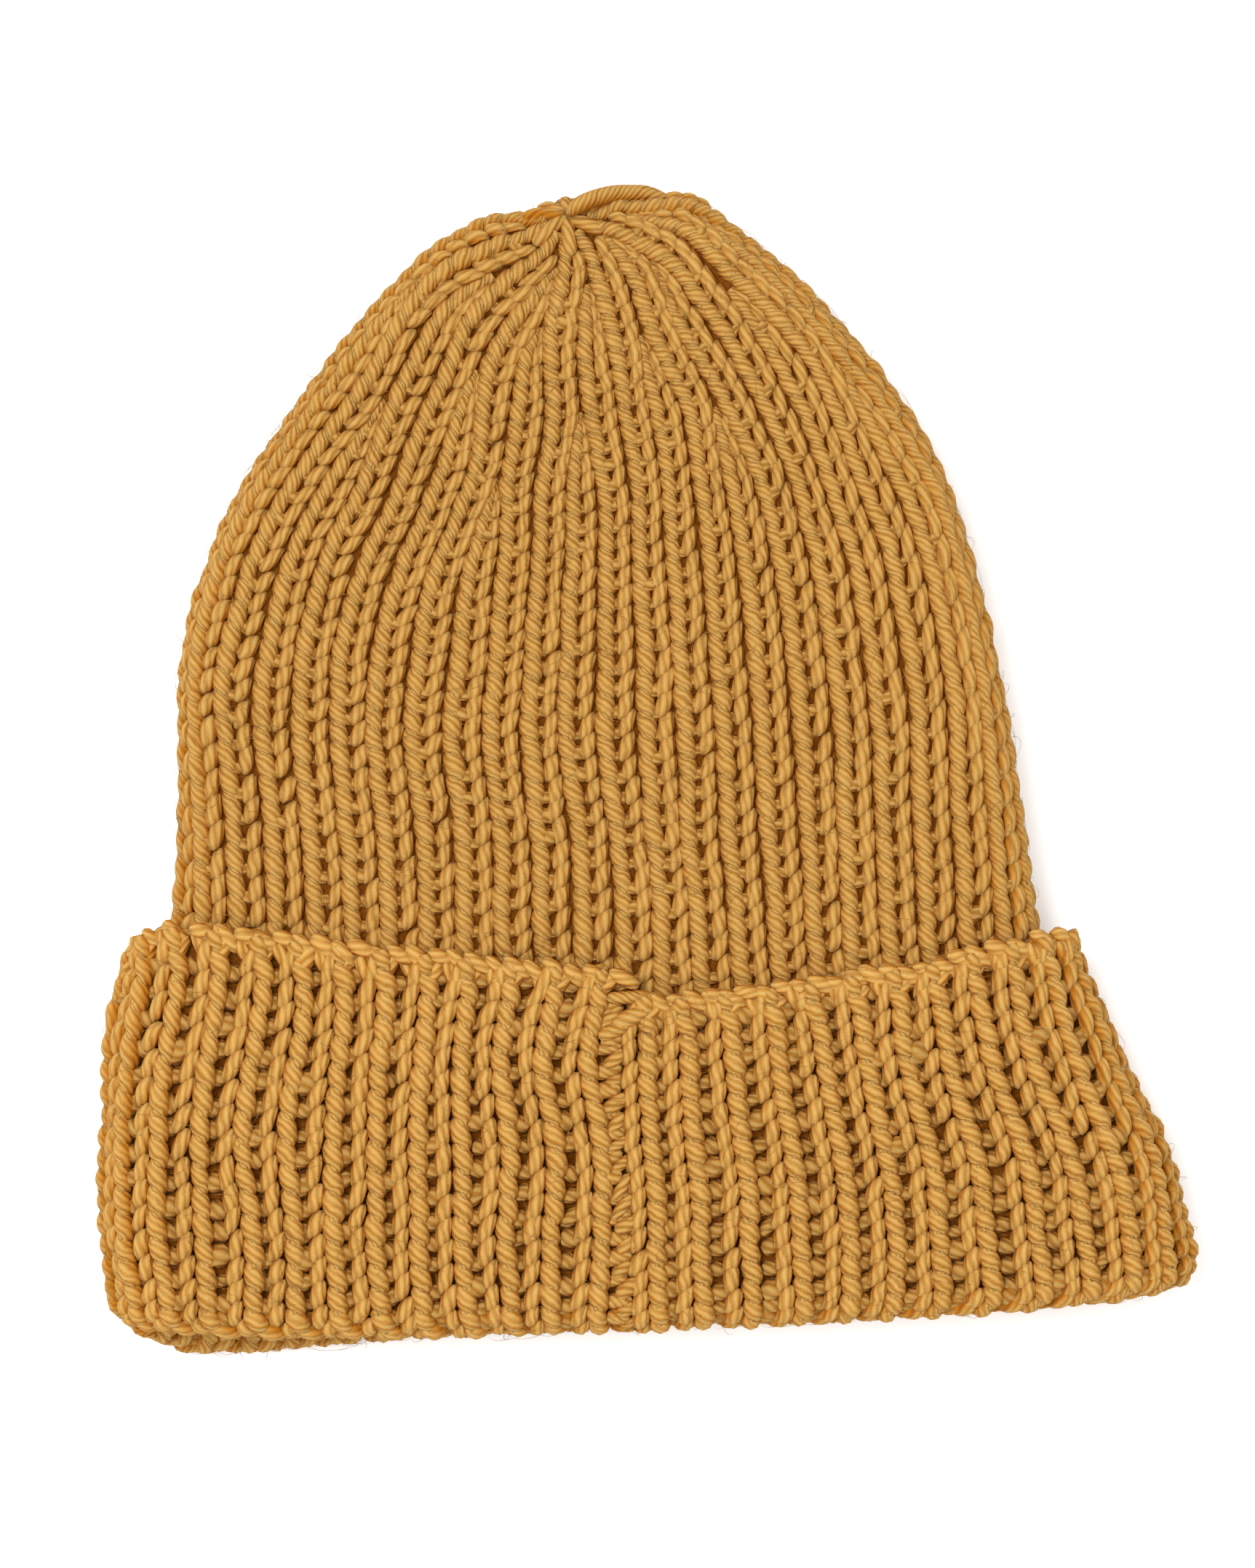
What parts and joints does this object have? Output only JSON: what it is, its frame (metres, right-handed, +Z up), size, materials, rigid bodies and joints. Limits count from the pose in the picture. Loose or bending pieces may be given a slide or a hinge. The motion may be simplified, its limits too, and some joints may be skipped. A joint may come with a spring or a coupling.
{
  "type": "ribbed beanie",
  "caption": "Thick knitted wool cap with a drawn-together plain crown and a turned-up ribbed brim, lying flat.",
  "frame": {"origin": "on the floor under the middle of the folded hat's outline as it lies flat", "axes": "+X to the wearer's left as the front is seen, +Y from the brim to the top of the crown, +Z up off the floor, out of the front"},
  "size_m": [0.2085, 0.2221, 0.026],
  "materials": {
    "crown_knit": "plain knit of thick mustard wool of many plies",
    "gather_yarn": "drawn-up mustard wool yarn",
    "brim_rib": "ribbed knit of thick mustard wool",
    "seam_yarn": "sewn mustard wool selvedges"
  },
  "bodies": {
    "root": {"crown": "crown_knit", "crown_gather": "gather_yarn", "folded_brim": "brim_rib", "brim_seam": "seam_yarn"}
  },
  "joints": []
}
